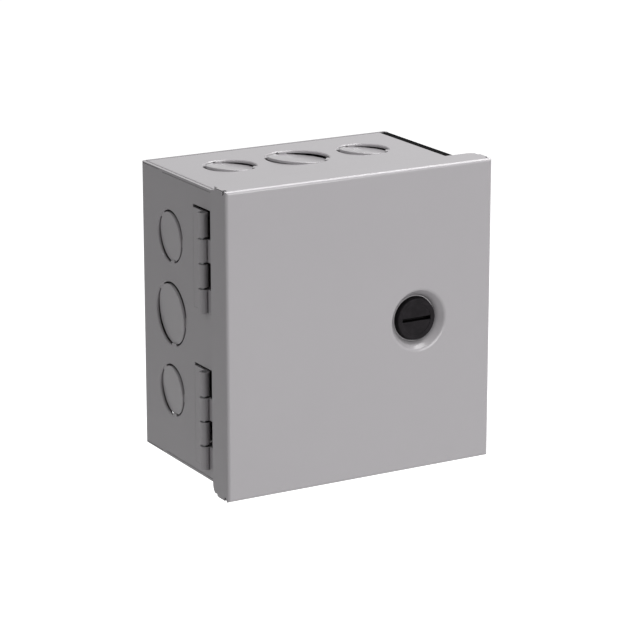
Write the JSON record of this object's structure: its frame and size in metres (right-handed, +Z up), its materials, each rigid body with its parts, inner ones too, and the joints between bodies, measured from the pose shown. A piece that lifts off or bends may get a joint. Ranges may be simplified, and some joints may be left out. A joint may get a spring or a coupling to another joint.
{
  "type": "load center",
  "caption": "Small surface-mounted load center: grey hinged-door steel enclosure with knockouts, quarter-turn latch, plug-on breakers, bus bars, neutral and ground bars.",
  "frame": {"origin": "centre of the rear (wall) face of the enclosure", "axes": "+X to the right of someone facing the door, +Z up, +Y into the wall; the door faces -Y"},
  "size_m": [0.1606, 0.104, 0.166],
  "materials": {
    "paint": "semi-gloss grey powder coat",
    "zinc": "bright zinc plate",
    "galvanised": "galvanised sheet",
    "latch_black": "black moulded nylon, satin",
    "case_black": "black thermoset, matte",
    "handle_black": "black thermoset, satin",
    "base_dark": "dark thermoset",
    "insulator": "ivory nylon",
    "tinned": "tin-plated aluminium",
    "aluminium": "mill finish",
    "copper": "copper alloy",
    "sealant": "black sealant",
    "card": "plain card, no print",
    "bond_green": "green-tinted screw"
  },
  "bodies": {
    "enclosure": {"body_hinge_leaf_lower": "paint", "body_hinge_leaf_upper": "paint", "bonding_screw": "bond_green", "bonding_strap": "tinned", "bottom_plate": "paint", "breaker_left_bimetal": "copper", "breaker_left_case_left": "case_black", "breaker_left_case_right": "case_black", "breaker_left_line_jaw": "copper", "breaker_left_load_terminal": "zinc", "breaker_rail": "galvanised", "breaker_right_bimetal": "copper", "breaker_right_case_left": "case_black", "breaker_right_case_right": "case_black", "breaker_right_line_jaw": "copper", "breaker_right_load_terminal": "zinc", "breaker_rivets": "zinc", "breaker_terminal_screws": "zinc", "deadfront_cover": "paint", "deadfront_posts": "zinc", "deadfront_screws": "zinc", "enclosure_wrapper": "paint", "ground_bar": "aluminium", "ground_bar_screws": "zinc", "hinge_pin_lower": "zinc", "hinge_pin_upper": "zinc", "insulating_base": "base_dark", "interior_pan": "galvanised", "line_bus_left": "tinned", "line_bus_right": "tinned", "main_lug_left": "aluminium", "main_lug_right": "aluminium", "main_lug_screws": "zinc", "neutral_bar": "aluminium", "neutral_bar_screws": "zinc", "neutral_insulator": "insulator", "pan_screws": "zinc", "seam_sealant": "sealant", "top_plate": "paint"},
    "door": {"door_pan": "paint", "directory_card": "card", "door_hinge_leaf_upper": "paint", "door_hinge_leaf_lower": "paint", "latch_housing": "latch_black", "latch_nut": "zinc"},
    "latch": {"latch_core": "latch_black", "latch_cam": "zinc", "latch_cam_screw": "zinc"},
    "breaker_left_toggle": {"breaker_left_handle": "handle_black"},
    "breaker_left_contact": {"breaker_left_contact_arm": "copper"},
    "breaker_right_toggle": {"breaker_right_handle": "handle_black"},
    "breaker_right_contact": {"breaker_right_contact_arm": "copper"}
  },
  "joints": [
    {"name": "door_hinge", "type": "hinge", "parent": "enclosure", "child": "door", "pos_m": [-0.0776, -0.0734, 0], "axis": [0, 0, -1], "range_deg": [0, 160]},
    {"name": "latch_turn", "type": "hinge", "parent": "door", "child": "latch", "pos_m": [0.035, -0.099, 0], "axis": [0, -1, 0], "range_deg": [0, 90]},
    {"name": "breaker_left_switch", "type": "hinge", "parent": "enclosure", "child": "breaker_left_toggle", "pos_m": [0.0016, -0.064, 0], "axis": [1, 0, 0], "range_deg": [0, 50]},
    {"name": "breaker_left_contact_swing", "type": "hinge", "parent": "enclosure", "child": "breaker_left_contact", "pos_m": [0.0016, -0.052, -0.008], "axis": [1, 0, 0], "range_deg": [0, 15]},
    {"name": "breaker_right_switch", "type": "hinge", "parent": "enclosure", "child": "breaker_right_toggle", "pos_m": [0.0274, -0.064, 0], "axis": [1, 0, 0], "range_deg": [0, 50]},
    {"name": "breaker_right_contact_swing", "type": "hinge", "parent": "enclosure", "child": "breaker_right_contact", "pos_m": [0.0274, -0.052, -0.008], "axis": [1, 0, 0], "range_deg": [0, 15]}
  ],
  "couplings": [
    {"joint": "breaker_left_contact_swing", "follows": "breaker_left_switch", "ratio": 0.3},
    {"joint": "breaker_right_contact_swing", "follows": "breaker_right_switch", "ratio": 0.3}
  ]
}
